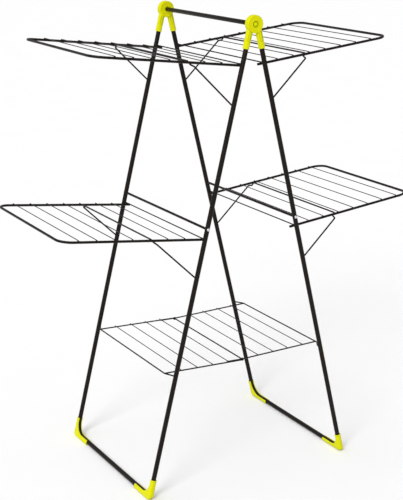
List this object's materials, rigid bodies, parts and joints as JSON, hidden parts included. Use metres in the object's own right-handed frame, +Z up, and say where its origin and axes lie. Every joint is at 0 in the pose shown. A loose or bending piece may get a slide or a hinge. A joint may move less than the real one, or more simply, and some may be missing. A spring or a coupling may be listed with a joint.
{
  "type": "clothes drying rack",
  "caption": "Folding A-frame clothes drying rack with strutted wings of thin rods on both sides, at an upper and a lower level, and a folding wire shelf near the floor.",
  "frame": {"origin": "on the floor, under the middle of the handle, midway between the feet", "axes": "+Z up; X along the handle; frame A stands on the -Y side and frame B on the +Y side"},
  "size_m": [0.5808, 1.2732, 1.494],
  "materials": {
    "black_coat": "satin brown-black powder coat",
    "lime_plastic": "semi-gloss moulded lime yellow",
    "zinc": "bright zinc-plated rivet heads"
  },
  "bodies": {
    "frame_a": {"cross_tube_a": "black_coat", "foot_a_left": "lime_plastic", "foot_a_right": "lime_plastic", "frame_a_tube": "black_coat", "handle": "black_coat", "hinge_a_left": "lime_plastic", "hinge_a_right": "lime_plastic", "hinge_pin_left": "lime_plastic", "hinge_pin_right": "lime_plastic", "rivet_a_left": "zinc", "rivet_a_right": "zinc"},
    "frame_b": {"cross_tube_b": "black_coat", "foot_b_left": "lime_plastic", "foot_b_right": "lime_plastic", "frame_b_tube": "black_coat", "hinge_b_left": "lime_plastic", "hinge_b_right": "lime_plastic", "rivet_b_left": "zinc", "rivet_b_right": "zinc"},
    "lower_strut_a": {"lower_strut_a": "black_coat"},
    "lower_strut_b": {"lower_strut_b": "black_coat"},
    "lower_wing_a": {"lower_wing_a": "black_coat", "lower_wing_a_rod_1": "black_coat", "lower_wing_a_rod_2": "black_coat", "lower_wing_a_rod_3": "black_coat", "lower_wing_a_rod_4": "black_coat", "lower_wing_a_rod_5": "black_coat", "lower_wing_a_rod_6": "black_coat", "lower_wing_a_rod_7": "black_coat"},
    "lower_wing_b": {"lower_wing_b": "black_coat", "lower_wing_b_rod_1": "black_coat", "lower_wing_b_rod_2": "black_coat", "lower_wing_b_rod_3": "black_coat", "lower_wing_b_rod_4": "black_coat", "lower_wing_b_rod_5": "black_coat", "lower_wing_b_rod_6": "black_coat", "lower_wing_b_rod_7": "black_coat"},
    "shelf_half_a": {"shelf_half_a": "black_coat"},
    "shelf_half_b": {"shelf_half_b": "black_coat"},
    "upper_strut_a": {"upper_strut_a": "black_coat"},
    "upper_strut_b": {"upper_strut_b": "black_coat"},
    "upper_wing_a": {"upper_wing_a": "black_coat", "upper_wing_a_rod_1": "black_coat", "upper_wing_a_rod_2": "black_coat", "upper_wing_a_rod_3": "black_coat", "upper_wing_a_rod_4": "black_coat", "upper_wing_a_rod_5": "black_coat", "upper_wing_a_rod_6": "black_coat", "upper_wing_a_rod_7": "black_coat"},
    "upper_wing_b": {"upper_wing_b": "black_coat", "upper_wing_b_rod_1": "black_coat", "upper_wing_b_rod_2": "black_coat", "upper_wing_b_rod_3": "black_coat", "upper_wing_b_rod_4": "black_coat", "upper_wing_b_rod_5": "black_coat", "upper_wing_b_rod_6": "black_coat", "upper_wing_b_rod_7": "black_coat"}
  },
  "joints": [
    {"name": "frame_fold", "type": "hinge", "parent": "frame_a", "child": "frame_b", "pos_m": [0, 0, 1.467], "axis": [1, 0, 0], "range_deg": [-25, 0]},
    {"name": "upper_wing_a_fold", "type": "hinge", "parent": "frame_a", "child": "upper_wing_a", "pos_m": [0, -0.03858, 1.3493], "axis": [1, 0, 0], "range_deg": [0, 80]},
    {"name": "upper_strut_a_swing", "type": "hinge", "parent": "frame_a", "child": "upper_strut_a", "pos_m": [0, -0.06841, 1.22739], "axis": [1, 0, 0], "range_deg": [0, 119.41]},
    {"name": "lower_wing_a_fold", "type": "hinge", "parent": "frame_a", "child": "lower_wing_a", "pos_m": [0, -0.16717, 0.8238], "axis": [1, 0, 0], "range_deg": [0, 76]},
    {"name": "lower_strut_a_swing", "type": "hinge", "parent": "frame_a", "child": "lower_strut_a", "pos_m": [0, -0.19652, 0.70384], "axis": [1, 0, 0], "range_deg": [0, 112.41]},
    {"name": "upper_wing_b_fold", "type": "hinge", "parent": "frame_b", "child": "upper_wing_b", "pos_m": [0, 0.03858, 1.3493], "axis": [-1, 0, 0], "range_deg": [0, 80]},
    {"name": "upper_strut_b_swing", "type": "hinge", "parent": "frame_b", "child": "upper_strut_b", "pos_m": [0, 0.06841, 1.22739], "axis": [-1, 0, 0], "range_deg": [0, 119.41]},
    {"name": "lower_wing_b_fold", "type": "hinge", "parent": "frame_b", "child": "lower_wing_b", "pos_m": [0, 0.16717, 0.8238], "axis": [-1, 0, 0], "range_deg": [0, 76]},
    {"name": "lower_strut_b_swing", "type": "hinge", "parent": "frame_b", "child": "lower_strut_b", "pos_m": [0, 0.19652, 0.70384], "axis": [-1, 0, 0], "range_deg": [0, 112.41]},
    {"name": "shelf_half_a_lift", "type": "hinge", "parent": "frame_a", "child": "shelf_half_a", "pos_m": [0, -0.27211, 0.39495], "axis": [1, 0, 0], "range_deg": [0, 72.1]},
    {"name": "shelf_middle_fold", "type": "hinge", "parent": "shelf_half_a", "child": "shelf_half_b", "pos_m": [0, 0, 0.38695], "axis": [1, 0, 0], "range_deg": [-169.19, 0]}
  ],
  "couplings": [
    {"joint": "upper_strut_a_swing", "follows": "upper_wing_a_fold", "ratio": 1.4925},
    {"joint": "lower_strut_a_swing", "follows": "lower_wing_a_fold", "ratio": 1.479},
    {"joint": "upper_strut_b_swing", "follows": "upper_wing_b_fold", "ratio": 1.4925},
    {"joint": "lower_strut_b_swing", "follows": "lower_wing_b_fold", "ratio": 1.479},
    {"joint": "shelf_half_a_lift", "follows": "frame_fold", "ratio": -2.8836},
    {"joint": "shelf_middle_fold", "follows": "frame_fold", "ratio": 6.7671}
  ]
}
